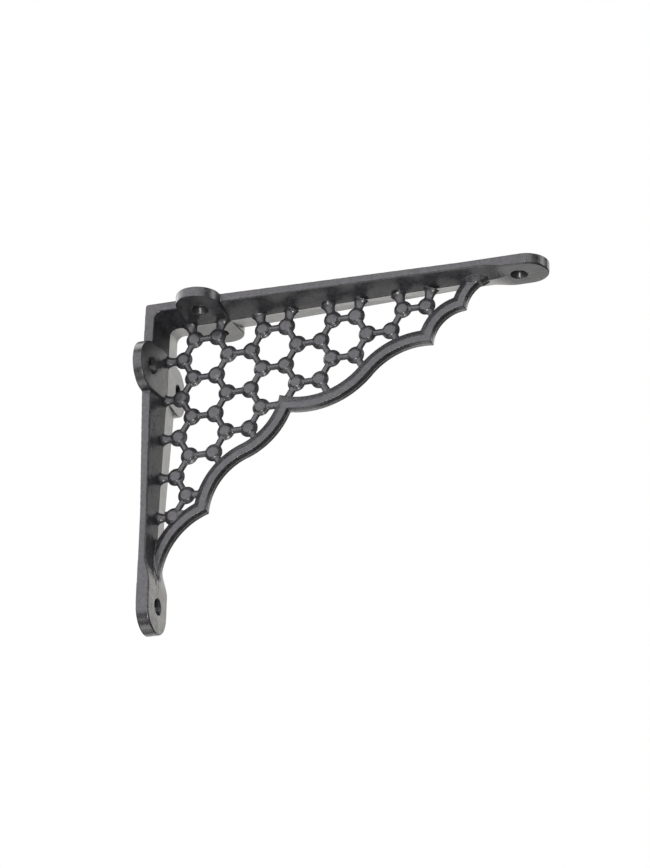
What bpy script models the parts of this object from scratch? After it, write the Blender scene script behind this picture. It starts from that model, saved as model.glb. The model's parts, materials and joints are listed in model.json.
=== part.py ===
"""Cast-iron shelf bracket with an openwork honeycomb web, one solid casting.

Millimetre figures are driven from the constants below and turned into metres
once. X runs away from the wall, Z runs up, Y runs across the bracket; the wall
plane is X = 0 and the casting is symmetrical about Y = 0.
"""
import math

import bmesh
import bpy
from mathutils import Vector

MM = 0.001

# Overall reach of the two arms, measured from their shared outer corner
TOP_ARM = 201.8
WALL_ARM = 168.4
TOP_Z = 85.0

# Bars: edge thickness at the corner, then at the widest place and at the end of
# the taper, and the ridge along the middle that is added to it at those two places
TOP_CORNER_T = 4.5
TOP_EDGE_T = (4.3, 3.5)
TOP_RIDGE = (3.0, 2.9)
WALL_CORNER_T = 4.9
WALL_EDGE_T = (4.8, 3.5)
WALL_RIDGE = (2.2, 1.5)
OUTER_CORNER_R = 1.3
INNER_CORNER_R = 4.0

# Half widths of the bars at the corner and where the taper ends
CORNER_HALF_W = 15.2
WALL_WIDEST = (34.0, 16.2)
WALL_HALF_W = 11.4
WALL_TAPER_END = 106.0
TOP_WIDEST = (42.0, 15.4)
TOP_HALF_W = 11.0
TOP_TAPER_END = 162.5

# Thickened ends with one countersunk hole each
WALL_PAD_T = 6.0
WALL_PAD_RISE = (136.0, 146.0)
WALL_PAD_R = 11.7
WALL_HOLE = 154.6
TOP_PAD_T = 5.4
TOP_PAD_RISE = (170.5, 181.5)
TOP_PAD_R = 11.0
TOP_HOLE = 187.1
HOLE_R = 2.4
SINK_R = 4.2
SINK_DEPTH = 2.6

# Cross pads near the corner, each ending in a round ear in front and behind:
# place of the pad and of its holes along the arm, how far out the ears and
# holes are centred, radius, thickness in the middle and its fall towards the ears
TOP_EARS = dict(at=28.3, hole_at=28.2, out=16.0, hole_out=13.7, radius=11.0, mid_t=7.3, fall=0.08)
WALL_EARS = dict(at=34.2, hole_at=34.2, out=15.8, hole_out=16.6, radius=12.6, mid_t=7.0, fall=0.08)
EAR_CHAMFER = 0.7
TIP_ANGLES = (20, 40, 57, 71, 83)

# Honeycomb: side of a cell, first boss, lean of the two columns next to the wall
# bar (the second only below its third boss), boss and bar sections
CELL = 12.0
FIRST_X = 20.55
FIRST_DROP = 15.15
COLUMNS = 5
ROWS = 10
COLUMN_LEAN = 0.28
SECOND_LEAN = 0.3
SECOND_LEAN_ROW = 4
BOSS_FACE_R = 2.7
BOSS_R = 4.6
BOSS_HALF_D = 2.1
BOSS_RIM_HALF_D = 0.6
BOSS_SIDES = 12
STRUT_HALF_W = 1.65
STRUT_FACE_HALF_W = 0.8
STRUT_HALF_D = 1.3
STRUT_START = 2.2
TOP_ROOT = (1.75, 2.1, 1.8)
TOP_ROOT_LEAN = 0.24
WALL_ROOT = (1.4, 1.8, 1.8)
RIB_ROOT = (1.2, 1.8, 1.5)
BOSS_CLEAR = 5.6

# Cusped rib along the free edge of the honeycomb
RIB_HALF_D = 2.9
RIB_FACE_W = 3.1
RIB_SLOPE_W = 3.5
RIB_SLOPE_D = 1.9
RIB_EDGE = 0.45
ARC_STEPS = 7

# Rib outline from the top bar down to the wall bar: end of each arc and its
# rise over the chord, positive where the arc hollows towards the honeycomb
RIB_START = (170.2, -6.2)
RIB_ARCS = (
    ((160.3, -19.6), 2.4),
    ((143.7, -35.7), 4.8),
    ((111.9, -47.6), 4.5),
    ((71.0, -60.6), -5.6),
    ((48.4, -82.2), -3.4),
    ((30.4, -108.4), 4.7),
    ((7.0, -139.2), 6.1),
    ((3.9, -150.0), 0.4),
)


def vec(x, y, drop):
    """Point in metres from millimetres; drop is measured from the top face."""
    return Vector((x * MM, y * MM, (TOP_Z + drop) * MM))


def clear_scene():
    for obj in list(bpy.data.objects):
        bpy.data.objects.remove(obj, do_unlink=True)


def new_collection(name):
    coll = bpy.data.collections.new(name)
    bpy.context.scene.collection.children.link(coll)
    return coll


def add_mesh(name, verts, faces, coll):
    mesh = bpy.data.meshes.new(name)
    mesh.from_pydata([tuple(v) for v in verts], [], faces)
    bm = bmesh.new()
    bm.from_mesh(mesh)
    bmesh.ops.recalc_face_normals(bm, faces=bm.faces)
    bmesh.ops.triangulate(bm, faces=bm.faces)
    bm.to_mesh(mesh)
    bm.free()
    mesh.validate()
    obj = bpy.data.objects.new(name, mesh)
    coll.objects.link(obj)
    return obj


def loft(name, rings, coll):
    """Closed skin through rings that all hold the same number of points."""
    n = len(rings[0])
    verts = [p for ring in rings for p in ring]
    faces = []
    for k in range(len(rings) - 1):
        for i in range(n):
            j = (i + 1) % n
            faces.append((k * n + i, k * n + j, (k + 1) * n + j, (k + 1) * n + i))
    faces.append(tuple(range(n))[::-1])
    faces.append(tuple(range((len(rings) - 1) * n, len(rings) * n)))
    return add_mesh(name, verts, faces, coll)


# Shelf and wall bars

def arm_stations(widest, half_w, taper_end, edges, ridges, rise, pad_t, pad_r, reach):
    """Distance along the arm, half width, edge and middle thickness."""
    centre = reach - pad_r
    edge_t = edges[1]
    mid_t = edges[1] + ridges[1]
    rows = [(widest[0], widest[1], edges[0], edges[0] + ridges[0])]
    rows.append((taper_end, half_w, edge_t, mid_t))
    rows.append((rise[0], half_w, edge_t, mid_t))
    rows.append((rise[1], pad_r, pad_t, pad_t))
    rows.append((centre, pad_r, pad_t, pad_t))
    for angle in TIP_ANGLES:
        a = math.radians(angle)
        rows.append((centre + pad_r * math.sin(a), pad_r * math.cos(a), pad_t, pad_t))
    return rows


def corner_point(depth, y, angle):
    """Point at a given thickness on the rounded corner of the two bars."""
    share = min(depth / WALL_CORNER_T, 1.0)
    radius = OUTER_CORNER_R + (INNER_CORNER_R - OUTER_CORNER_R) * share
    centre = depth + radius
    a = math.radians(angle)
    return vec(centre - radius * math.cos(a), y, -(centre - radius * math.sin(a)))


def build_frame(coll):
    wall = arm_stations(WALL_WIDEST, WALL_HALF_W, WALL_TAPER_END, WALL_EDGE_T,
                        WALL_RIDGE, WALL_PAD_RISE, WALL_PAD_T, WALL_PAD_R, WALL_ARM)
    top = arm_stations(TOP_WIDEST, TOP_HALF_W, TOP_TAPER_END, TOP_EDGE_T,
                       TOP_RIDGE, TOP_PAD_RISE, TOP_PAD_T, TOP_PAD_R, TOP_ARM)

    def section(half_w, edge_t, mid_t):
        return [(0.0, -half_w), (edge_t, -half_w), (mid_t, 0.0), (edge_t, half_w), (0.0, half_w)]

    rings = []
    for s, half_w, edge_t, mid_t in reversed(wall):
        rings.append([vec(t, y, -s) for t, y in section(half_w, edge_t, mid_t)])
    for angle in (0, 30, 60, 90):
        share = angle / 90.0
        edge_t = WALL_CORNER_T + (TOP_CORNER_T - WALL_CORNER_T) * share
        ridge = WALL_RIDGE[0] + (TOP_RIDGE[0] - WALL_RIDGE[0]) * share
        pts = section(CORNER_HALF_W, edge_t, edge_t + ridge)
        rings.append([corner_point(t, y, angle) for t, y in pts])
    for s, half_w, edge_t, mid_t in top:
        rings.append([vec(s, y, -t) for t, y in section(half_w, edge_t, mid_t)])
    return loft("bracket", rings, coll)


def ear_face(ears, y):
    """Thickness of a cross pad at a distance from the middle."""
    return ears["mid_t"] - ears["fall"] * abs(y)


def build_ear_pad(name, ears, on_wall, coll):
    """Pad across a bar, highest along the middle, with round ends past its edges."""
    radius = ears["radius"]
    half = [(0.0, radius), (ears["out"], radius)]
    for angle in TIP_ANGLES:
        a = math.radians(angle)
        half.append((ears["out"] + radius * math.sin(a), radius * math.cos(a)))
    rows = [(-y, w) for y, w in reversed(half[1:])] + half
    rings = []
    for y, w in rows:
        face = ear_face(ears, y)
        low = face - EAR_CHAMFER
        inner = w - EAR_CHAMFER
        pts = ((0.0, -w), (low, -w), (face, -inner), (face, inner), (low, w), (0.0, w))
        ring = []
        for depth, ds in pts:
            s = ears["at"] + ds
            ring.append(vec(depth, y, -s) if on_wall else vec(s, y, -depth))
        rings.append(ring)
    return loft(name, rings, coll)


def build_hole(name, distance, y, face_t, on_wall, coll):
    """Screw hole with a cone for the screw head, opening inwards."""
    profile = (
        (-1.0, HOLE_R),
        (face_t - SINK_DEPTH, HOLE_R),
        (face_t, SINK_R),
        (face_t + 3.0, SINK_R + 3.0 * (SINK_R - HOLE_R) / SINK_DEPTH),
    )
    rings = []
    for depth, radius in profile:
        ring = []
        for k in range(16):
            a = math.tau * (k + 0.5) / 16
            s = distance + radius * math.cos(a)
            yy = y + radius * math.sin(a)
            ring.append(vec(depth, yy, -s) if on_wall else vec(s, yy, -depth))
        rings.append(ring)
    return loft(name, rings, coll)


# Cusped rib

def arc_of(a, b, rise):
    """Centre and radius of the arc from a to b, and +1 where it hollows inwards."""
    chord = b - a
    radius = (chord.length_squared / 4 + rise * rise) / (2 * abs(rise))
    hollow = math.copysign(1.0, rise)
    inward = Vector((chord.y, -chord.x)).normalized()
    centre = (a + b) / 2 - inward * hollow * (radius - abs(rise))
    return centre, radius, hollow


def crossing(first, second, guess):
    """Where two offset arcs cross next to guess."""
    c1, r1 = first
    c2, r2 = second
    apart = c2 - c1
    along = (apart.length_squared + r1 * r1 - r2 * r2) / (2 * apart.length)
    off = math.sqrt(max(r1 * r1 - along * along, 0.0))
    unit = apart.normalized()
    side = Vector((-unit.y, unit.x))
    options = [c1 + unit * along + side * off, c1 + unit * along - side * off]
    return min(options, key=lambda p: (p - guess).length)


def rib_line(offset):
    """Points along the rib at a distance inside its outline, kinks kept sharp."""
    ends = [Vector(RIB_START)] + [Vector(end) for end, rise in RIB_ARCS]
    arcs = [arc_of(a, b, arc[1]) for a, b, arc in zip(ends, ends[1:], RIB_ARCS)]
    circles = [(centre, radius + offset * hollow) for centre, radius, hollow in arcs]
    inward = [[(p - c) * h / r for p in (a, b)] for a, b, (c, r, h) in zip(ends, ends[1:], arcs)]
    joints = [ends[0] + inward[0][0] * offset]
    for k in range(1, len(arcs)):
        before, after = inward[k - 1][1], inward[k][0]
        middle = (before + after).normalized()
        joint = ends[k] + middle * (offset / middle.dot(before))
        if before.dot(after) < 0.8:
            joint = crossing(circles[k - 1], circles[k], joint)
        joints.append(joint)
    joints.append(ends[-1] + inward[-1][1] * offset)
    line = [joints[0]]
    for (centre, radius), a, b in zip(circles, joints, joints[1:]):
        ra, rb = a - centre, b - centre
        turn = math.atan2(ra.x * rb.y - ra.y * rb.x, ra.dot(rb))
        start = math.atan2(ra.y, ra.x)
        for k in range(1, ARC_STEPS + 1):
            share = k / ARC_STEPS
            reach = ra.length + (rb.length - ra.length) * share
            angle = start + turn * share
            line.append(centre + Vector((math.cos(angle), math.sin(angle))) * reach)
    return line


def build_rib(coll):
    d = RIB_HALF_D
    side = d - RIB_SLOPE_D
    face = RIB_EDGE + RIB_FACE_W
    section = (
        (RIB_EDGE, -d), (0.0, -d + RIB_EDGE), (0.0, d - RIB_EDGE), (RIB_EDGE, d),
        (face, d), (face + RIB_SLOPE_W, side), (face + RIB_SLOPE_W, -side), (face, -d),
    )
    lines = []
    for offset, y in section:
        lines.append([vec(max(p.x, 1.0), y, min(p.y, -1.0)) for p in rib_line(offset)])
    return loft("rib", list(zip(*lines)), coll)


def depth_inside(point, pts):
    """Distance from the rib outline, positive on the honeycomb side."""
    found = []
    for a, b in zip(pts, pts[1:]):
        d = b - a
        t = max(0.0, min(1.0, (point - a).dot(d) / d.length_squared))
        gap = point - (a + d * t)
        square = gap.dot(Vector((d.y, -d.x)).normalized())
        found.append((round(gap.length, 3), -abs(square), square))
    nearest = min(found)
    return math.copysign(nearest[0], nearest[2])


# Honeycomb

def cell_corner(u, row):
    """Centre of the honeycomb corner at column u (in cell sides) and row."""
    x = FIRST_X + CELL * u
    if u == -0.5:
        x += 0.5 - COLUMN_LEAN * (row - 1)
    if u == 0.0 and row > SECOND_LEAN_ROW:
        x -= SECOND_LEAN * (row - SECOND_LEAN_ROW)
    return Vector((x, -FIRST_DROP - CELL * math.sqrt(3) / 2 * row))


def honeycomb(outline):
    """Bosses kept inside the rib and the bars that leave each of them."""
    bosses = {}
    for row in range(ROWS):
        offset = 0.0 if row % 2 == 0 else -1.5
        for k in range(2 * COLUMNS):
            u = offset + (k // 2) * 3 + k % 2
            if u < -0.5:
                continue
            if depth_inside(cell_corner(u, row), outline) > BOSS_CLEAR:
                bosses[(u, row)] = k % 2
    return bosses


def bonds(u, row, right_hand):
    """The three neighbours of a corner; right_hand corners face right."""
    side = 1 if right_hand else -1
    return ((u - side, row), (u + 0.5 * side, row - 1), (u + 0.5 * side, row + 1))


def build_boss(name, centre, coll):
    rings = []
    for y, radius in ((-BOSS_HALF_D, BOSS_FACE_R), (-BOSS_RIM_HALF_D, BOSS_R),
                      (BOSS_RIM_HALF_D, BOSS_R), (BOSS_HALF_D, BOSS_FACE_R)):
        ring = []
        for k in range(BOSS_SIDES):
            a = math.tau * (k + 0.5) / BOSS_SIDES
            ring.append(vec(centre.x + radius * math.cos(a), y, centre.y + radius * math.sin(a)))
        rings.append(ring)
    return loft(name, rings, coll)


def build_strut(name, a, b, coll, root=(1.0, 1.0, 1.0)):
    """Bar from a to b; root scales its width at a, its width at b and depth at b."""
    along = (b - a).normalized()
    across = Vector((along.y, -along.x))
    near, far, deep = root
    a = a + along * STRUT_START
    if root == (1.0, 1.0, 1.0):
        b = b - along * STRUT_START
    rings = []
    for share in (0.0, 0.5, 1.0):
        p = a.lerp(b, share)
        wide = near + (far - near) * share * share
        d = STRUT_HALF_D * (1.0 + (deep - 1.0) * share * share)
        w = STRUT_HALF_W * wide
        f = w - STRUT_HALF_W + STRUT_FACE_HALF_W
        pts = ((w, 0.0), (f, d), (-f, d), (-w, 0.0), (-f, -d), (f, -d))
        rings.append([vec(p.x + across.x * s, y, p.y + across.y * s) for s, y in pts])
    if root == (1.0, 1.0, 1.0):
        rings = rings[::2]
    return loft(name, rings, coll)


def clip_to_rib(a, b, outline):
    """End of a bar that leaves a for b, stopped inside the body of the rib."""
    for k in range(1, 41):
        p = a.lerp(b, k / 40)
        if depth_inside(p, outline) < 2.6:
            return p
    return b


def build_web(outline, coll):
    bosses = honeycomb(outline)
    for (u, row), right_hand in bosses.items():
        here = cell_corner(u, row)
        tag = "%d_%d" % (round(2 * u), row)
        build_boss("boss_" + tag, here, coll)
        for n, (nu, nrow) in enumerate(bonds(u, row, right_hand)):
            there = cell_corner(nu, nrow)
            if (nu, nrow) in bosses:
                if (nu, nrow) > (u, row):
                    build_strut("bar_%s_%d" % (tag, n), here, there, coll)
                continue
            if nrow < 0:
                there = cell_corner(u + (nu - u) * 2 * TOP_ROOT_LEAN, nrow)
                root = TOP_ROOT
            elif nu < -1:
                root = WALL_ROOT
            else:
                there = clip_to_rib(here, there, outline)
                root = RIB_ROOT
            build_strut("root_%s_%d" % (tag, n), here, there, coll, root)


def build_corner_web(coll):
    """Flat gusset that fills the last, lowest corner beside the wall bar."""
    corner = cell_corner(-0.5, 9)
    pts = [corner + Vector(step) for step in ((-4.8, 3.0), (5.6, 2.6), (1.0, -7.8))]
    middle = (pts[0] + pts[1] + pts[2]) / 3
    rings = []
    for y, scale in ((-1.6, 0.85), (-0.8, 1.0), (0.8, 1.0), (1.6, 0.85)):
        ring = [middle + (p - middle) * scale for p in pts]
        rings.append([vec(p.x, y, p.y) for p in ring])
    return loft("corner_web", rings, coll)


def boolean(obj, coll, operation):
    mod = obj.modifiers.new(operation.lower(), "BOOLEAN")
    mod.operation = operation
    mod.solver = "EXACT"
    mod.operand_type = "COLLECTION"
    mod.collection = coll
    for tool in coll.objects:
        tool.hide_render = True
        tool.display_type = "WIRE"


def black_paint():
    mat = bpy.data.materials.new("satin_black_paint")
    mat.use_nodes = True
    bsdf = mat.node_tree.nodes["Principled BSDF"]
    bsdf.inputs["Base Color"].default_value = (0.022, 0.021, 0.023, 1.0)
    bsdf.inputs["Roughness"].default_value = 0.38
    bsdf.inputs["Metallic"].default_value = 0.0
    return mat


def main():
    clear_scene()
    parts = new_collection("shelf_bracket")
    pads = new_collection("bracket_ears")
    holes = new_collection("bracket_holes")
    web = new_collection("bracket_web")

    bracket = build_frame(parts)
    build_ear_pad("top_ears", TOP_EARS, False, pads)
    build_ear_pad("wall_ears", WALL_EARS, True, pads)
    build_rib(web)
    build_web(rib_line(0.0), web)
    build_corner_web(web)

    for side in (-1, 1):
        for tag, ears, on_wall in (("top", TOP_EARS, False), ("wall", WALL_EARS, True)):
            out = ears["hole_out"]
            face = ear_face(ears, out)
            build_hole("%s_ear_hole_%d" % (tag, side), ears["hole_at"], side * out, face, on_wall, holes)
    build_hole("top_end_hole", TOP_HOLE, 0.0, TOP_PAD_T, False, holes)
    build_hole("wall_end_hole", WALL_HOLE, 0.0, WALL_PAD_T, True, holes)

    boolean(bracket, pads, "UNION")
    boolean(bracket, holes, "DIFFERENCE")
    boolean(bracket, web, "UNION")
    bracket.data.materials.append(black_paint())


main()
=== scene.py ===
# %% [markdown]
# # A cast-iron shelf bracket with a honeycomb web
#
# The real bracket is one iron casting: two arms at a right angle, a cross pad
# with screw ears on each arm, and a lacy web of honeycomb inside a cusped rib.
# Such a piece is poured in a sand mould split along its middle, cleaned up
# roughly and painted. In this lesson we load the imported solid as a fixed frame,
# build the casting again with its soft edges, paint and light it.

# %% Load the frame
import json
import math
import random

import bmesh
import bpy
from mathutils import Matrix, Vector

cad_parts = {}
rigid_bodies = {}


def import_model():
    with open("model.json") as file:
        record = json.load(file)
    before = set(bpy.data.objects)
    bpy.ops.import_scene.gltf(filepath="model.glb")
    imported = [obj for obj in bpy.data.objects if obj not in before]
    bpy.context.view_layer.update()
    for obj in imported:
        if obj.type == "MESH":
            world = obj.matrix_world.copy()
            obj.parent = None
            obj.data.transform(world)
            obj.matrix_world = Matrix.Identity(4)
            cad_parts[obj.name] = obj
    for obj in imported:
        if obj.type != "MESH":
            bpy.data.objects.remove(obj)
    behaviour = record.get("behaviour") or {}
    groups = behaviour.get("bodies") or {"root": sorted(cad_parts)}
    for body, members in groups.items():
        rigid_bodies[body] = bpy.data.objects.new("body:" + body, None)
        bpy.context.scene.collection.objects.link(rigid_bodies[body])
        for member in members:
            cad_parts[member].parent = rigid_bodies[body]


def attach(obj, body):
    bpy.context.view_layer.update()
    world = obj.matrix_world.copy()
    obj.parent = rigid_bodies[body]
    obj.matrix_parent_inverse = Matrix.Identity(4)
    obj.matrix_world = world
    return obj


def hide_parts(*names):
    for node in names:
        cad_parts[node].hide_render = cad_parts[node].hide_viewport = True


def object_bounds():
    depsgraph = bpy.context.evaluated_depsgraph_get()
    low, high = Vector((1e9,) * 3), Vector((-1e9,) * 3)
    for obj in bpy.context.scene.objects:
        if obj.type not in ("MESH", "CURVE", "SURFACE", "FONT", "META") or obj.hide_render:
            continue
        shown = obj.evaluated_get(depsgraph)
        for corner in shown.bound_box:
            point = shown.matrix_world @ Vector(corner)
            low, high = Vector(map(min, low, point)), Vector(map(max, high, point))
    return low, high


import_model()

solid_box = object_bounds()
print("solid box", [[round(v, 4) for v in corner] for corner in solid_box])

# %% [markdown]
# ## Measuring like a pattern maker
#
# A pattern maker marks everything from the outer corner of the two arms: how
# far out along the shelf, how far down the wall, how far to one side. We could
# model in metres, but millimetres measured from that corner read better. One
# function turns them into the row's own frame, whose origin is on the wall.

# %% Points in millimetres
SHELF_HEIGHT = 85.0


def spot(out, side, drop):
    """Point in metres: out from the wall, across, and down from the shelf face."""
    return Vector((out, side, SHELF_HEIGHT - drop)) / 1000.0


print("outer corner of the arms, in metres:", tuple(spot(0.0, 0.0, 0.0)))

# %% [markdown]
# ## Skins from rings
#
# Every limb of the casting is a bar whose section changes along its length. We
# could scale cubes or sweep curves, but joining rings of points gives each
# section its own size and place. The skins may run into each other freely,
# because a later step melts them into one.

# %% Closed skin through rings of points
def skin(name, rings):
    """Mesh object closed at both ends, through rings of equal length."""
    bm = bmesh.new()
    rows = [[bm.verts.new(p) for p in ring] for ring in rings]
    count = len(rows[0])
    for low, high in zip(rows, rows[1:]):
        for i in range(count):
            j = (i + 1) % count
            bm.faces.new((low[i], low[j], high[j], high[i]))
    bm.faces.new(rows[0][::-1])
    bm.faces.new(rows[-1])
    bmesh.ops.recalc_face_normals(bm, faces=bm.faces)
    bmesh.ops.triangulate(bm, faces=bm.faces)
    mesh = bpy.data.meshes.new(name)
    bm.to_mesh(mesh)
    bm.free()
    made = bpy.data.objects.new(name, mesh)
    bpy.context.scene.collection.objects.link(made)
    return made


# %% [markdown]
# ## The two arms
#
# Both arms are one bent strap: widest near the corner, narrower towards the
# ends, and thicker along the middle so that the inner face has a low ridge
# where the mould parted. Each end swells into a round pad for a screw. A box
# with a bevel would miss the taper and the ridge, so we list the stations of
# a pattern drawing and skin them from the wall end round to the shelf end.

# %% Stations along an arm
SWELL_ROWS, PAD_ROWS, PAD_TURN = 8, 15, 88.0


def arm(widest, half_width, taper_end, edges, ridges, swell, pad, crown, pad_radius, reach):
    """Rows of distance along the arm, half width, edge and middle thickness."""
    centre = reach - pad_radius
    edge, ridge = edges[1], ridges[1]
    rows = [(*widest, edges[0], edges[0] + ridges[0]), (taper_end, half_width, edge, edge + ridge)]
    for k in range(SWELL_ROWS + 1):
        share = k / SWELL_ROWS
        ease = share * share * (3 - 2 * share)
        along = swell[0] + (swell[1] - swell[0]) * share
        wide = half_width + (pad_radius - half_width) * ease
        rows.append((along, wide, edge + (pad - edge) * ease,
                     edge + ridge + (pad + crown - edge - ridge) * ease))
    for k in range(PAD_ROWS + 1):
        turn = math.radians(PAD_TURN * k / PAD_ROWS)
        share = math.cos(turn)
        rows.append((centre + pad_radius * math.sin(turn), pad_radius * share, pad, pad + crown * share))
    return rows


SHELF_EDGE, SHELF_RIDGE = (4.3, 3.5), (3.0, 2.9)
WALL_EDGE, WALL_RIDGE = (4.8, 3.5), (2.2, 1.5)
SHELF_PAD, WALL_PAD, SHELF_CROWN, WALL_CROWN = 5.4, 6.4, 0.0, 0.2
shelf_arm = arm(widest=(42.0, 15.4), half_width=11.0, taper_end=162.5, edges=SHELF_EDGE, ridges=SHELF_RIDGE,
                swell=(169.5, 184.0), pad=SHELF_PAD, crown=SHELF_CROWN, pad_radius=11.0, reach=201.8)
wall_arm = arm(widest=(34.0, 16.2), half_width=11.4, taper_end=106.0, edges=WALL_EDGE, ridges=WALL_RIDGE,
               swell=(131.0, 146.0), pad=WALL_PAD, crown=WALL_CROWN, pad_radius=11.7, reach=168.4)
print("stations:", len(shelf_arm), "on the shelf arm,", len(wall_arm), "on the wall arm")


# %% Strap bent round the corner
CORNER_HALF_WIDTH = 15.2
WALL_CORNER, SHELF_CORNER = 4.9, 4.5
EDGE_SOFTNESS = 0.5
OUTER_BEND, BEND_GROWTH = 1.3, 2.7


def section(half_width, edge, middle):
    """Thickness and side of each point of the strap's section."""
    soft = EDGE_SOFTNESS
    return [(0.0, -half_width), (edge - soft, -half_width), (edge, -half_width + soft),
            (middle, 0.0), (edge, half_width - soft), (edge - soft, half_width), (0.0, half_width)]


def round_corner(depth, side, angle):
    """Point of the bend at a thickness, with a tighter curve outside than in."""
    share = min(depth / WALL_CORNER, 1.0)
    radius = OUTER_BEND + BEND_GROWTH * share
    centre = depth + radius
    turn = math.radians(angle)
    return spot(centre - radius * math.cos(turn), side, centre - radius * math.sin(turn))


rings = [[spot(t, y, s) for t, y in section(w, e, m)] for s, w, e, m in reversed(wall_arm)]
for angle in range(0, 91, 10):
    share = angle / 90
    edge = WALL_CORNER + (SHELF_CORNER - WALL_CORNER) * share
    ridge = WALL_RIDGE[0] + (SHELF_RIDGE[0] - WALL_RIDGE[0]) * share
    rings.append([round_corner(t, y, angle) for t, y in section(CORNER_HALF_WIDTH, edge, edge + ridge)])
rings += [[spot(s, y, t) for t, y in section(w, e, m)] for s, w, e, m in shelf_arm]
strap = skin("strap", rings)
print("strap:", len(strap.data.polygons), "faces")

# %% [markdown]
# ## Cross pads with ears
#
# Near the corner each arm carries a cross pad whose round ends, the ears, stick
# out in front and behind, each with a screw hole. The pad is highest along the
# middle and falls away to both ears, the draft that lets the pattern slide out
# of the sand, and it makes the front ears dark and the back ones light. We
# could extrude an outline and bend it, but slices along the arm give the round
# ends, the draft and the soft edges at once.

# %% Pads in slices
SHELF_EARS = dict(at=28.3, hole_at=28.2, out=16.0, hole_out=13.7, radius=11.0, middle=7.3, fall=0.08)
WALL_EARS = dict(at=34.2, hole_at=34.2, out=15.8, hole_out=16.6, radius=12.6, middle=7.0, fall=0.08)
PAD_EDGE, BACK_EDGE, SHOULDER = 0.45, 0.25, 0.3
SLICE_TURN, END_TURN = 4, 88


def pad_face(ears, side):
    """Thickness of a cross pad at a distance from the middle."""
    return ears["middle"] - ears["fall"] * abs(side)


def cross_pad(name, ears, on_wall):
    """Pad across an arm, in slices that follow its round ends and soften its rim."""
    radius = ears["radius"]
    rings = []
    for degrees in range(-END_TURN, END_TURN + 1, SLICE_TURN):
        turn = math.radians(degrees)
        s = ears["at"] + radius * math.sin(turn)
        tip = ears["out"] + radius * math.cos(turn)
        past = max(abs(radius * math.sin(turn)) - radius + PAD_EDGE, 0.0)
        cut = PAD_EDGE - math.sqrt(PAD_EDGE ** 2 - past ** 2)
        face = pad_face(ears, tip) - cut
        half = ((tip - BACK_EDGE, 0.0), (tip, BACK_EDGE), (tip, face - PAD_EDGE),
                (tip - SHOULDER * PAD_EDGE, face - SHOULDER * PAD_EDGE), (tip - PAD_EDGE, face))
        points = [(-y, d) for y, d in half] + [(0.0, ears["middle"] - cut)] + list(reversed(half))
        rings.append([spot(d, y, s) if on_wall else spot(s, y, d) for y, d in points])
    return skin(name, rings)


pads = [cross_pad("shelf_pad", SHELF_EARS, False), cross_pad("wall_pad", WALL_EARS, True)]
print("pads:", [pad.name for pad in pads])

# %% [markdown]
# ## Countersunk screw holes
#
# Six holes take countersunk wood screws: a straight bore with a cone on the
# inner face. Drilling is a job for a Boolean: we make a plug of the hole's
# shape for each and cut them all away from the strap and its pads.

# %% Plugs for the holes
BORE, SINK, SINK_DEPTH = 2.4, 4.2, 2.6
BELOW, ABOVE, PLUG_SIDES = 1.0, 3.0, 40
SHELF_END_HOLE, WALL_END_HOLE = 187.1, 154.6


def plug(name, along, side, face, on_wall):
    """Bore and cone of one hole, longer than the hole at both ends."""
    slope = (SINK - BORE) / SINK_DEPTH
    rings = []
    rows = ((-BELOW, BORE), (face - SINK_DEPTH, BORE), (face + ABOVE, SINK + ABOVE * slope))
    for depth, radius in rows:
        ring = []
        for k in range(PLUG_SIDES):
            turn = math.tau * (k + 0.5) / PLUG_SIDES
            s = along + radius * math.cos(turn)
            y = side + radius * math.sin(turn)
            ring.append(spot(depth, y, s) if on_wall else spot(s, y, depth))
        rings.append(ring)
    return skin(name, rings)


plugs = [plug("shelf_end_plug", SHELF_END_HOLE, 0.0, SHELF_PAD + SHELF_CROWN, False),
         plug("wall_end_plug", WALL_END_HOLE, 0.0, WALL_PAD + WALL_CROWN, True)]
for ears, on_wall in ((SHELF_EARS, False), (WALL_EARS, True)):
    for end in (-1, 1):
        side = end * ears["hole_out"]
        plugs.append(plug("ear_plug", ears["hole_at"], side, pad_face(ears, side), on_wall))
print("plugs:", len(plugs))


# %% Add the pads and drill the holes
def gather(name, objects):
    """Moves objects into a collection of their own."""
    group = bpy.data.collections.new(name)
    bpy.context.scene.collection.children.link(group)
    for obj in objects:
        for old in list(obj.users_collection):
            old.objects.unlink(obj)
        group.objects.link(obj)
    return group


def fix(obj):
    """Makes an object's modifiers permanent."""
    graph = bpy.context.evaluated_depsgraph_get()
    graph.update()
    mesh = bpy.data.meshes.new_from_object(obj.evaluated_get(graph))
    obj.modifiers.clear()
    obj.data = mesh


def carve(obj, group, operation):
    """Boolean with a whole collection, fixed into the mesh, tools thrown away."""
    cut = obj.modifiers.new(operation.lower(), "BOOLEAN")
    cut.operation = operation
    cut.solver = "EXACT"
    cut.operand_type = "COLLECTION"
    cut.collection = group
    fix(obj)
    for tool in list(group.objects):
        bpy.data.objects.remove(tool)
    bpy.data.collections.remove(group)


carve(strap, gather("pads", pads), "UNION")
carve(strap, gather("plugs", plugs), "DIFFERENCE")
print("strap with pads and holes:", len(strap.data.polygons), "faces")

# %% [markdown]
# ## The cusped rib
#
# The free edge of the web is a rib drawn with a pair of compasses: arcs that
# meet in sharp cusps. Its front is a narrow flat, which slopes back on the
# side of the honeycomb. A curve object with a bevel would round the cusps off,
# so we offset each arc by hand and let neighbouring arcs cut each other.

# %% Arcs of the rib
RIB_START = (170.2, 6.2)
RIB_ARCS = (
    ((160.3, 19.6), 2.4),
    ((143.7, 35.7), 4.8),
    ((111.9, 47.6), 4.5),
    ((71.0, 60.6), -5.6),
    ((48.4, 82.2), -3.4),
    ((30.4, 108.4), 4.7),
    ((7.0, 139.2), 6.1),
    ((5.7, 150.0), 0.3),
)
print("arcs in the rib:", len(RIB_ARCS))


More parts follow.
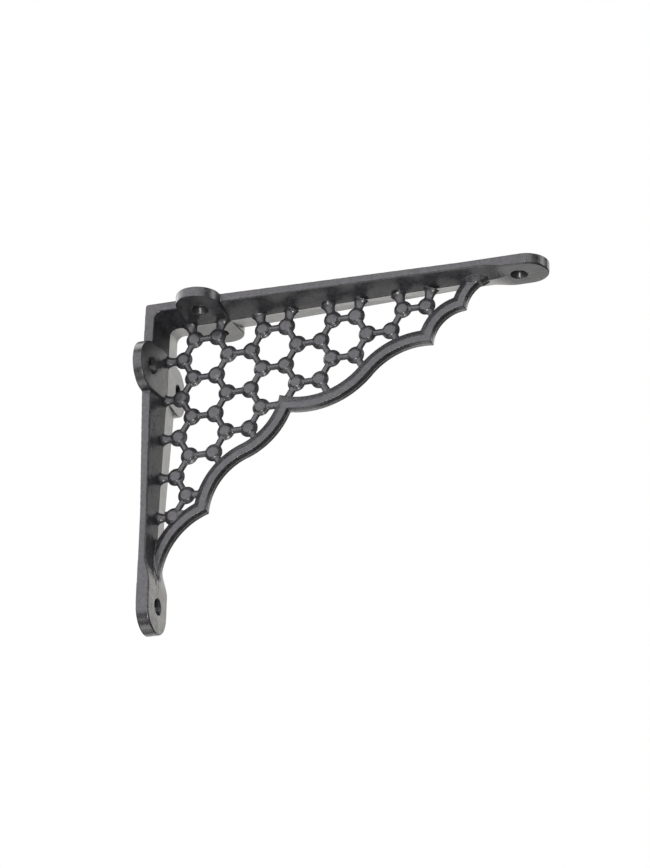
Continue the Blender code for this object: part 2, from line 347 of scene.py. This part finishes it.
def compass(a, b, rise):
    """Centre and radius of the arc from a to b, and +1 where it hollows inwards."""
    chord = b - a
    radius = (chord.length_squared / 4 + rise * rise) / (2 * abs(rise))
    hollow = math.copysign(1.0, rise)
    inward = Vector((-chord.y, chord.x)).normalized()
    centre = (a + b) / 2 - inward * hollow * (radius - abs(rise))
    return centre, radius, hollow


# %% Offset line of the rib
ARC_STEPS = 16
CUSP_COSINE = 0.8


def meet(first, second, guess):
    """Where two circles cross next to a guess."""
    (c1, r1), (c2, r2) = first, second
    apart = c2 - c1
    along = (apart.length_squared + r1 * r1 - r2 * r2) / (2 * apart.length)
    off = math.sqrt(max(r1 * r1 - along * along, 0.0))
    unit = apart.normalized()
    side = Vector((-unit.y, unit.x))
    return min((c1 + unit * along + side * off * s for s in (-1, 1)), key=lambda p: (p - guess).length)


def rib_line(offset):
    """Points along the rib at a distance inside its outline, as out and drop."""
    ends = [Vector(RIB_START)] + [Vector(end) for end, rise in RIB_ARCS]
    arcs = [compass(a, b, arc[1]) for a, b, arc in zip(ends, ends[1:], RIB_ARCS)]
    circles = [(centre, radius + offset * hollow) for centre, radius, hollow in arcs]
    inward = [[(p - c) * h / r for p in (a, b)] for a, b, (c, r, h) in zip(ends, ends[1:], arcs)]
    joints = [ends[0] + inward[0][0] * offset]
    for k in range(1, len(arcs)):
        before, after = inward[k - 1][1], inward[k][0]
        middle = (before + after).normalized()
        joint = ends[k] + middle * (offset / middle.dot(before))
        if before.dot(after) < CUSP_COSINE:
            joint = meet(circles[k - 1], circles[k], joint)
        joints.append(joint)
    joints.append(ends[-1] + inward[-1][1] * offset)
    line = [joints[0]]
    for (centre, radius), a, b in zip(circles, joints, joints[1:]):
        ra, rb = a - centre, b - centre
        turn = math.atan2(ra.x * rb.y - ra.y * rb.x, ra.dot(rb))
        start = math.atan2(ra.y, ra.x)
        for k in range(1, ARC_STEPS + 1):
            reach = ra.length + (rb.length - ra.length) * k / ARC_STEPS
            angle = start + turn * k / ARC_STEPS
            line.append(centre + Vector((math.cos(angle), math.sin(angle))) * reach)
    return line


outline = rib_line(0.0)
rib_length = sum((b - a).length for a, b in zip(outline, outline[1:]))
print("length along the rib:", round(rib_length, 1), "mm")


# %% Skin of the rib
RIB_HALF_DEPTH = 2.9
FLAT_END, SLOPE_WIDTH, SLOPE_END = 3.6, 1.3, 7.1
INSIDE_ARM = 1.0
rim = ((0.5, RIB_HALF_DEPTH), (0.25, 2.78), (0.15, 2.5))
slope = ((FLAT_END, RIB_HALF_DEPTH), (FLAT_END + SLOPE_WIDTH, 2.2), (SLOPE_END, 1.0))
rib_section = [(w, -y) for w, y in rim] + [(0.0, 0.0)] + list(reversed(rim))
rib_section += list(slope) + [(w, -y) for w, y in reversed(slope)]
lines = []
for offset, y in rib_section:
    lines.append([spot(max(p.x, INSIDE_ARM), y, max(p.y, INSIDE_ARM)) for p in rib_line(offset)])
rib = skin("rib", list(zip(*lines)))
print("rib:", len(rib.data.polygons), "faces")

# %% [markdown]
# ## The honeycomb
#
# The web is a honeycomb of short bars with a round button on every corner. The
# buttons are flat in front with a rounded rim. We could scatter instances, but
# the casting is one piece, so each button and bar is its own small skin that
# reaches into its neighbours. The corners follow from two rules: the side of a
# cell is 12 mm, and a corner is kept when it is far enough inside the rib. The
# first two columns lean a little towards the wall, as on the real casting.

# %% Corners of the honeycomb
CELL = 12.0
FIRST_OUT, FIRST_DROP = 20.55, 15.15
LEAN, LEAN_START = 0.28, 0.5
SECOND_LEAN, SECOND_LEAN_ROW = 0.3, 4
BUTTON_CLEAR = 5.6
ROWS, PLACES = 10, 10


def corner(u, row):
    """Centre of a honeycomb corner, u counted in cell sides, as out and drop."""
    out = FIRST_OUT + CELL * u
    if u == -0.5:
        out += LEAN_START - LEAN * (row - 1)
    if u == 0.0 and row > SECOND_LEAN_ROW:
        out -= SECOND_LEAN * (row - SECOND_LEAN_ROW)
    return Vector((out, FIRST_DROP + CELL * math.sqrt(3) / 2 * row))


def inside_rib(point, outline):
    """Distance from the rib's outline, positive on the honeycomb's side."""
    # where two stretches are equally near, the one met more squarely gives the side
    found = []
    for a, b in zip(outline, outline[1:]):
        run = b - a
        share = max(0.0, min(1.0, (point - a).dot(run) / run.length_squared))
        gap = point - (a + run * share)
        square = gap.dot(Vector((-run.y, run.x)).normalized())
        found.append((round(gap.length, 3), -abs(square), square))
    near = min(found)
    return math.copysign(near[0], near[2])


kept = {}
for row in range(ROWS):
    for k in range(PLACES):
        u = (0.0 if row % 2 == 0 else -1.5) + (k // 2) * 3 + k % 2
        if u >= -0.5 and inside_rib(corner(u, row), outline) > BUTTON_CLEAR:
            kept[(u, row)] = k % 2
print("buttons:", len(kept))


# %% [markdown]
# ## Buttons, bars and roots
#
# Every corner of the honeycomb carries a round button that stands out in front
# and behind. It is turned from a profile, like a chess pawn. No two are quite
# alike on the casting, so each is grown and tipped by a small seeded chance.
# The bars between them are oval, and they flare where they meet an arm or the
# rib, as a pattern maker's fillet does.

# %% Buttons, each a little different
BUTTON_PROFILE = ((2.2, 1.3), (2.16, 2.3), (1.95, 2.85), (1.5, 3.35), (1.05, 3.8), (0.4, 4.55))
BUTTON_SIDES, FACE_FROM = 28, 1.0
MOST_GROWTH, MOST_TILT = 0.06, 0.05
chance = random.Random(12)


def button(name, centre):
    """Round button with a flat face and sloping sides; its face tilts and varies slightly."""
    grow = chance.uniform(1 - MOST_GROWTH, 1 + MOST_GROWTH)
    tilt = [chance.uniform(-MOST_TILT, MOST_TILT) for k in range(2)]
    rings = []
    for y, radius in [(-y, r) for y, r in BUTTON_PROFILE] + list(reversed(BUTTON_PROFILE)):
        face = abs(y) > FACE_FROM
        ring = []
        for k in range(BUTTON_SIDES):
            turn = math.tau * (k + 0.5) / BUTTON_SIDES
            dx = radius * math.cos(turn) * (grow if face else 1.0)
            dz = radius * math.sin(turn) * (grow if face else 1.0)
            lift = tilt[0] * dx + tilt[1] * dz if face else 0.0
            ring.append(spot(centre.x + dx, y + lift, centre.y + dz))
        rings.append(ring)
    return skin(name, rings)


# %% Bars and their flared roots
BAR_HALF_WIDTH, BAR_HALF_DEPTH = 1.65, 1.4
BAR_ROWS, BAR_SIDES = 16, 20
IN_BUTTON = 2.2
PLAIN = (1.0, 1.0, 1.0)


def bar(name, a, b, root=PLAIN):
    """Oval bar from a to b; root scales the width at each end and the depth at b."""
    along = (b - a).normalized()
    across = Vector((along.y, -along.x))
    a = a + along * IN_BUTTON
    if root == PLAIN:
        b = b - along * IN_BUTTON
    rings = []
    for k in range(BAR_ROWS + 1):
        share = k / BAR_ROWS
        width = BAR_HALF_WIDTH * (root[0] + (root[1] - root[0]) * share ** 3)
        depth = BAR_HALF_DEPTH * (1.0 + (root[2] - 1.0) * share ** 4)
        p = a.lerp(b, share)
        ring = []
        for i in range(BAR_SIDES):
            turn = math.tau * (i + 0.5) / BAR_SIDES
            side = width * math.cos(turn)
            ring.append(spot(p.x + across.x * side, depth * math.sin(turn), p.y + across.y * side))
        rings.append(ring)
    return skin(name, rings)


# %% Web of buttons, bars and roots
SHELF_ROOT, SHELF_ROOT_LEAN = (1.35, 2.6, 2.3), 0.24
WALL_ROOT = (1.2, 2.2, 2.2)
RIB_ROOT = (1.15, 1.5, 1.3)
SHELF_FACE, WALL_FACE, WALL_FACE_RUN = 6.6, (6.9, 4.6), 110.0
RIB_BITE, RIB_STEPS = 3.4, 40


def neighbours(u, row, side):
    """The three corners that a corner of the honeycomb is joined to."""
    return (u - side, row), (u + 0.5 * side, row - 1), (u + 0.5 * side, row + 1)


web = [rib]
for (u, row), right_hand in kept.items():
    here = corner(u, row)
    web.append(button("button", here))
    for nu, nrow in neighbours(u, row, 1 if right_hand else -1):
        there = corner(nu, nrow)
        if (nu, nrow) in kept:
            if (nu, nrow) > (u, row):
                web.append(bar("bar", here, there))
        elif nrow < 0:
            there = corner(u + (nu - u) * 2 * SHELF_ROOT_LEAN, nrow)
            reach = (here.y - SHELF_FACE) / (here.y - there.y)
            web.append(bar("shelf_root", here, here.lerp(there, reach), SHELF_ROOT))
        elif nu < -1:
            face = WALL_FACE[0] + (WALL_FACE[1] - WALL_FACE[0]) * here.y / WALL_FACE_RUN
            reach = (here.x - face) / (here.x - there.x)
            web.append(bar("wall_root", here, here.lerp(there, reach), WALL_ROOT))
        else:
            shares = [k / RIB_STEPS for k in range(1, RIB_STEPS + 1)]
            reach = next((s for s in shares if inside_rib(here.lerp(there, s), outline) < RIB_BITE), 1.0)
            web.append(bar("rib_root", here, here.lerp(there, reach), RIB_ROOT))
print("skins in the web:", len(web))

# %% [markdown]
# ## Where the rib meets the arms
#
# The rib runs out into both arms. A fillet widens its foot there: short and
# full under the shelf arm, long and thin down the wall arm. Each is a skin
# through a few rings whose spread rises and falls, which is easier to steer
# than rounding the joint after the parts are merged.

# %% Flares where the rib meets the arms
RIB_HEAD = ((158.5, 0.3, 5.3, 0.6), (161.5, 1.6, 5.2, 2.0), (165.0, 2.5, 5.0, 2.9),
            (168.5, 2.2, 5.1, 2.4), (171.5, 0.6, 5.3, 0.9))
RIB_TAIL = ((124.0, 0.1, 4.0, 0.3), (130.0, 0.3, 4.2, 0.7), (135.0, 0.8, 4.7, 1.0),
            (140.0, 1.5, 5.6, 0.8), (144.5, 2.0, 6.3, 0.3))
SUNK, IN_RIB = 1.5, 0.1


def flare(name, stations, on_wall):
    """Fillet on both sides of the rib: place along the arm, spread, arm face, height."""
    rings = []
    for along, spread, face, height in stations:
        foot = RIB_HALF_DEPTH + spread
        half = ((foot, face - SUNK), (foot, face), (RIB_HALF_DEPTH - IN_RIB, face + height))
        points = [(-y, depth) for y, depth in half] + [(y, depth) for y, depth in reversed(half)]
        rings.append([spot(d, y, along) if on_wall else spot(along, y, d) for y, d in points])
    return skin(name, rings)


web.append(flare("rib_head", RIB_HEAD, False))
web.append(flare("rib_tail", RIB_TAIL, True))
print("flares run", [(piece[0][0], piece[-1][0]) for piece in (RIB_HEAD, RIB_TAIL)], "mm along the arms")

# %% [markdown]
# ## Gusset in the lowest corner
#
# The cell that would hold the last button is too small, so the mould has a
# solid three-cornered piece there. Four triangles, the outer two smaller, make
# a little web with bevelled edges, where a cut cube would take more steps.

# %% Three-cornered gusset
GUSSET_TIPS = ((-4.8, -3.0), (5.6, -2.6), (1.0, 7.8))
GUSSET_SLICES = ((-1.6, 0.85), (-0.8, 1.0), (0.8, 1.0), (1.6, 0.85))
lowest = corner(-0.5, 9)
tips = [lowest + Vector(tip) for tip in GUSSET_TIPS]
middle = (tips[0] + tips[1] + tips[2]) / 3
rings = []
for y, scale in GUSSET_SLICES:
    rings.append([spot(p.x, y, p.y) for p in (middle + (tip - middle) * scale for tip in tips)])
web.append(skin("gusset", rings))
print("gusset round", tuple(round(v, 1) for v in middle))

# %% [markdown]
# ## Melting the skins into one casting
#
# Molten iron leaves no sharp inner corners: every junction has a small fillet
# and every edge is slightly round, the more so under paint. Bevels can't do
# that on such a tangle of skins. Voxel remeshing melts them into one skin, a
# few rounds of smoothing draw the fillets, and decimation removes the points
# that flat faces don't need. Points that stray past the solid's outer faces by
# a hair are set back on them, as if the backs had been linished flat.

# %% One skin with soft edges
VOXEL = 0.00026
casting = strap
casting.name = "bracket_casting"
bm = bmesh.new()
bm.from_mesh(casting.data)
for piece in web:
    bm.from_mesh(piece.data)
    bpy.data.objects.remove(piece)
bm.to_mesh(casting.data)
bm.free()

melt = casting.modifiers.new("melt", "REMESH")
melt.mode = "VOXEL"
melt.voxel_size = VOXEL
fix(casting)
print("melted skin:", len(casting.data.polygons), "faces")

# %% Fillets and fewer points
SMOOTHING, ROUNDS = 0.5, 6
MOST_TRIANGLES = 185000
ease = casting.modifiers.new("ease", "SMOOTH")
ease.factor = SMOOTHING
ease.iterations = ROUNDS
thin = casting.modifiers.new("thin", "DECIMATE")
thin.ratio = min(1.0, MOST_TRIANGLES / (2 * len(casting.data.polygons)))
fix(casting)
print("casting:", len(casting.data.polygons), "triangles")

# %% True outer faces and smooth shading
FLAT_WEIGHT = 70
low, high = solid_box
for point in casting.data.vertices:
    point.co = [min(max(value, low[axis]), high[axis]) for axis, value in enumerate(point.co)]
casting.data.shade_smooth()
flats = casting.modifiers.new("flats", "WEIGHTED_NORMAL")
flats.weight = FLAT_WEIGHT
fix(casting)
print("points set within", [round((b - a) * 1000, 1) for a, b in zip(low, high)], "mm")


# %% [markdown]
# ## Writing shader maths as sums
#
# A finish is a recipe of masks: how near an edge, how grainy, how dusty. Wiring
# Math nodes by hand hides that recipe. One small class wraps a socket, so that
# `1 - mask` or `a * b` adds the node and returns the result as a wire.

# %% Wires that can be added and multiplied
class Wire:
    """An output socket on which plain arithmetic adds Math nodes."""

    def __init__(self, bench, socket):
        self.bench = bench
        self.socket = socket

    def math(self, operation, first, second=0.0, clamp=False):
        settings = {"operation": operation, "use_clamp": clamp}
        made = self.bench.node("ShaderNodeMath", settings, {0: first, 1: second})
        return Wire(self.bench, made.outputs[0])

    def __add__(self, other):
        return self.math("ADD", self, other)

    def __sub__(self, other):
        return self.math("SUBTRACT", self, other)

    def __rsub__(self, other):
        return self.math("SUBTRACT", other, self)

    def __mul__(self, other):
        return self.math("MULTIPLY", self, other)

    __radd__ = __add__
    __rmul__ = __mul__

    def clamped(self):
        return self.math("ADD", self, 0.0, clamp=True)

    def size(self):
        return self.math("ABSOLUTE", self)


# %% Bench on which a finish is mixed
class Bench:
    """Nodes of one material, or of the world around the part."""

    def __init__(self, owner):
        self.owner = owner
        owner.use_nodes = True
        self.tree = owner.node_tree
        self.tree.nodes.clear()

    def node(self, kind, settings=None, sockets=None):
        """Adds a node: settings first, then values or links of its sockets."""
        made = self.tree.nodes.new(kind)
        for key, value in (settings or {}).items():
            if key == "stops":
                ramp = made.color_ramp.elements
                for place, shade in value[1:-1]:
                    ramp.new(place)
                for stop, (place, shade) in zip(ramp, value):
                    stop.position = place
                    stop.color = (shade, shade, shade, 1.0)
            else:
                setattr(made, key, value)
        for key, value in (sockets or {}).items():
            if isinstance(value, Wire):
                self.tree.links.new(value.socket, made.inputs[key])
            else:
                made.inputs[key].default_value = value
        return made

    def wire(self, node, output=0):
        return Wire(self, node.outputs[output])

    def noise(self, place, scale, detail=2.0, roughness=0.5):
        sockets = {"Vector": place, "Scale": scale, "Detail": detail, "Roughness": roughness}
        return self.wire(self.node("ShaderNodeTexNoise", None, sockets), "Fac")

    def ramp(self, value, *stops):
        return self.wire(self.node("ShaderNodeValToRGB", {"stops": stops}, {0: value}))

    def mix(self, share, first, second):
        """Colour between two colours."""
        made = self.node("ShaderNodeMix", {"data_type": "RGBA"}, {0: share, 6: first, 7: second})
        return self.wire(made, 2)


# %% [markdown]
# ## Satin black paint on a sand casting
#
# The paint is a cool near-black over cast iron. Seen close, such paint shows a
# fine grain from the sand, a few pits and a slow waviness. The photograph is too
# coarse to show them one by one, so their sizes are chosen. An image texture
# would tie them to one unwrap, so we read noise in object space, where a scale
# of 1500 means grains of two thirds of a millimetre.

# %% Grain, pits and waves
GRAIN, MOTTLE, PITS, WAVES, BLOTCH = 1500.0, 560.0, 620.0, 170.0, 55.0
paint = Bench(bpy.data.materials.new("satin_black_paint"))
place = paint.wire(paint.node("ShaderNodeTexCoord"), "Object")
grain = paint.noise(place, GRAIN, 3.0, 0.6)
mottle = paint.ramp(paint.noise(place, MOTTLE, 3.0, 0.65), (0.36, 0.0), (0.66, 1.0))
pits = paint.ramp(paint.noise(place, PITS, 2.0, 0.5), (0.28, 1.0), (0.36, 0.0))
waves = paint.noise(place, WAVES, 2.0, 0.5)
blotch = paint.noise(place, BLOTCH, 3.0, 0.55)
print("paint nodes so far:", len(paint.tree.nodes))

# %% [markdown]
# ## Mould seam
#
# A casting from a split mould has a thin raised line where the halves met, here
# along the middle of the web and the ridges. It is left off the two flat backs,
# because they have to fit. The distance from the middle plane gives the line as
# a mask, which needs no extra edges in the mesh.

# %% Seam between the halves of the mould
SEAM_SHARPNESS, FADE = 2400.0, 2000.0
WALL_BACK, SHELF_TOP = 0.001, 0.084
apart = paint.node("ShaderNodeSeparateXYZ", None, {0: place})
outward, across, upward = (paint.wire(apart, axis) for axis in "XYZ")
off_the_wall = ((outward - WALL_BACK) * FADE).clamped()
off_the_top = ((SHELF_TOP - upward) * FADE).clamped()
seam = (1.0 - across.size() * SEAM_SHARPNESS).clamped() * (off_the_wall * off_the_top)
print("seam is", round(2000 / SEAM_SHARPNESS, 2), "mm wide")

# %% [markdown]
# ## Rubbed edges and dusty hollows
#
# Handling polishes the paint on the edges until a little iron shows, and grey
# dust stays in the hollows. We could paint both by hand, but the mesh knows
# where it bulges and where it dips: Pointiness turns that into two masks, and
# the noise breaks the rubbed one up.

# %% Edges and hollows
pointed = paint.wire(paint.node("ShaderNodeNewGeometry"), "Pointiness")
edges = paint.ramp(pointed, (0.515, 0.0), (0.56, 1.0))
hollows = paint.ramp(pointed, (0.44, 1.0), (0.49, 0.0))
rubbed = (edges * paint.ramp(blotch + grain * 0.4, (0.62, 0.0), (0.85, 1.0))).clamped()
print("paint nodes so far:", len(paint.tree.nodes))

# %% [markdown]
# ## Mixing the paint
#
# The masks come together in one shader. Black and a slightly greyed black are
# mixed by the mottle, dust goes over them and bare iron on top. The waves vary
# the gloss, so that reflections break up as on real brushed paint, and a small
# bump lets the grain and the seam catch the light.

# %% Colour, gloss and relief of the paint
BLACK = (0.008, 0.0076, 0.0088, 1.0)
GREYED = (0.044, 0.043, 0.046, 1.0)
BARE_IRON = (0.16, 0.155, 0.15, 1.0)
DUST = (0.034, 0.032, 0.030, 1.0)
colour = paint.mix((mottle * 0.6 + blotch * 0.25).clamped(), BLACK, GREYED)
colour = paint.mix(hollows * 0.3, colour, DUST)
colour = paint.mix(rubbed * 0.4, colour, BARE_IRON)
GLOSS, RELIEF = 0.29, 0.0001
gloss = GLOSS + (waves - 0.5) * 0.16 + mottle * 0.05 + hollows * 0.08 - edges * 0.05
height = grain * 0.4 + mottle * 0.25 + waves * 1.6 - pits * 0.5 + seam * 4.0
bump = {"Strength": 0.6, "Distance": RELIEF, "Height": height}
relief = paint.wire(paint.node("ShaderNodeBump", None, bump))
shader = paint.node("ShaderNodeBsdfPrincipled", None, {
    "Base Color": colour, "Roughness": gloss, "Normal": relief, "IOR": 1.5})
paint.node("ShaderNodeOutputMaterial", None, {"Surface": paint.wire(shader)})
casting.data.materials.clear()
casting.data.materials.append(paint.owner)
print("paint nodes:", len(paint.tree.nodes))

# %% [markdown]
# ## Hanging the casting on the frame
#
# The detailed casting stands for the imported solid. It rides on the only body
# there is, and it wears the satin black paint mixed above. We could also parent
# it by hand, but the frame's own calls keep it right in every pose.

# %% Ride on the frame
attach(casting, "root")
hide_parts("bracket")
casting_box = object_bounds()
grown = [round((casting_box[k][i] - solid_box[k][i]) * 1000, 2) for k in (0, 1) for i in range(3)]
print("casting against solid, mm:", grown)

# %% [markdown]
# ## Pale floor
#
# The bracket is seen as if it hung high over a pale studio floor. The floor
# glows a little of itself, as one lit from all around does, and it is hidden
# from the paint's reflections, so that the undersides stay dark. A backdrop
# with a bend would do as well, but a plane looks the same with one face.

# %% Plain floor
FLOOR_SIZE, FLOOR_HEIGHT = 30.0, -1.9
CHALK, WHITE = (0.9, 0.9, 0.9, 1.0), (1.0, 1.0, 1.0, 1.0)
bpy.ops.mesh.primitive_plane_add(size=FLOOR_SIZE, location=(0.0, 0.0, FLOOR_HEIGHT))
floor = bpy.context.object
floor.name = "floor"
chalk = Bench(bpy.data.materials.new("pale_floor"))
matt = chalk.node("ShaderNodeBsdfPrincipled", None, {
    "Base Color": CHALK, "Roughness": 0.9, "Emission Color": WHITE, "Emission Strength": 0.62})
chalk.node("ShaderNodeOutputMaterial", None, {"Surface": chalk.wire(matt)})
floor.data.materials.append(chalk.owner)
floor.visible_glossy = False
floor.visible_diffuse = False
print("floor lies", FLOOR_HEIGHT, "m from the origin")

# %% [markdown]
# ## White surround
#
# A photographer's white cove looks bright to the eye while flags keep it out of
# the gloss. The world does the same here: white where it is seen directly, dim
# in what the paint mirrors. A plain white world would turn black paint grey.

# %% Surround, white to the eye and dim in the gloss
DIM = 0.085
surround = Bench(bpy.data.worlds.new("white_surround"))
bpy.context.scene.world = surround.owner
seen = surround.wire(surround.node("ShaderNodeLightPath"), "Is Camera Ray")
strength = DIM + seen * (1.0 - DIM)
backdrop = surround.node("ShaderNodeBackground", None, {"Color": WHITE, "Strength": strength})
surround.node("ShaderNodeOutputWorld", None, {"Surface": surround.wire(backdrop)})
bpy.context.scene.view_settings.view_transform = "Standard"
print("surround in the gloss:", DIM)

# %% [markdown]
# ## Soft panels
#
# Black paint has almost no colour of its own: what we see is what it mirrors.
# Seen from below and from the open side, the casting has grey fronts, dark
# undersides and pale far halves. One lamp can't do that, so a soft panel stands
# wherever a group of faces looks. The web stands between some of them and the
# arms, so that its mirror image lies dark on the undersides, like a shadow.

# %% Soft panels
MIDDLE = Vector((0.08, 0.0, 0.03))
PANEL_DISTANCE = 2.0


def soft_panel(name, toward, brightness, wide, tall, lean=(1, 0, 0), tint=(1, 1, 1)):
    """Even panel, so many degrees wide and tall as the part sees it, long side along lean."""
    data = bpy.data.lights.new(name, "AREA")
    data.shape = "RECTANGLE"
    data.size = 2 * PANEL_DISTANCE * math.tan(math.radians(wide / 2))
    data.size_y = 2 * PANEL_DISTANCE * math.tan(math.radians(tall / 2))
    data.energy = brightness * math.pi * data.size * data.size_y
    data.color = tint
    back = Vector(toward).normalized()
    right = Vector(lean)
    right = (right - back * right.dot(back)).normalized()
    lamp = bpy.data.objects.new(name, data)
    lamp.matrix_world = Matrix((right, back.cross(right), back)).transposed().to_4x4()
    lamp.location = MIDDLE + back * PANEL_DISTANCE
    lamp.visible_camera = False
    bpy.context.scene.collection.objects.link(lamp)
    print(name, "is", round(data.size, 2), "by", round(data.size_y, 2), "m, power", round(data.energy, 1))


WARM, COOL = (1.0, 0.985, 0.96), (0.975, 0.95, 1.0)
SLANT = (0.62, 0.0, 0.88)
soft_panel("front_panel", (-0.32, -0.93, 0.15), 3.3, 70.0, 60.0, tint=COOL)
soft_panel("right_front_panel", (0.42, -0.72, 0.55), 3.2, 34.0, 22.0)
soft_panel("right_panel", (0.97, 0.20, 0.40), 4.5, 24.0, 40.0, lean=(0, 1, 0))
soft_panel("left_panel", (-0.92, 0.08, 0.40), 3.8, 60.0, 40.0, lean=(0, 1, 0))
soft_panel("low_panel", (-0.30, 0.10, -0.95), 5.0, 24.0, 24.0)
soft_panel("front_low_panel", (-0.31, -0.54, -0.78), 3.6, 18.0, 13.0)
soft_panel("top_panel", (-0.31, -0.10, 0.95), 4.5, 34.0, 34.0)
soft_panel("web_shadow_panel", (-0.31, 0.50, -0.80), 1.9, 22.0, 14.0)
soft_panel("shelf_pad_panel", (-0.31, 0.82, -0.48), 1.7, 12.0, 12.0)
soft_panel("back_panel", (-0.05, 0.97, 0.10), 1.5, 70.0, 40.0, lean=SLANT, tint=WARM)
soft_panel("wall_pad_panel", (0.38, 0.81, 0.44), 1.35, 13.0, 30.0, tint=WARM)
soft_panel("right_back_panel", (0.62, 0.65, 0.44), 0.2, 26.0, 34.0, tint=WARM)
soft_panel("small_lamp", (0.13, -0.74, -0.65), 220.0, 5.0, 5.0)
soft_panel("bar_strip", (0.52, -0.85, -0.03), 9.0, 10.0, 26.0)

# %% [markdown]
# ## Camera
#
# We look up at the bracket from its open side. The place and the turn were
# solved from the honeycomb's corners, taken to lie in one plane and to be 12 mm
# apart. The lens is long, as in a catalogue picture, so far edges shrink little.

# %% Camera
EYE = (0.66926, -1.52586, -0.74113)
EYE_TURN = (114.6994, -1.1346, 20.2729)
LENS, SENSOR = 155.9, 36.0
camera_data = bpy.data.cameras.new("camera")
camera_data.lens = LENS
camera_data.sensor_width = SENSOR
camera = bpy.data.objects.new("camera", camera_data)
camera.location = EYE
camera.rotation_euler = [math.radians(angle) for angle in EYE_TURN]
bpy.context.scene.collection.objects.link(camera)
bpy.context.scene.camera = camera
print("camera is", round((camera.location - MIDDLE).length, 2), "m away")
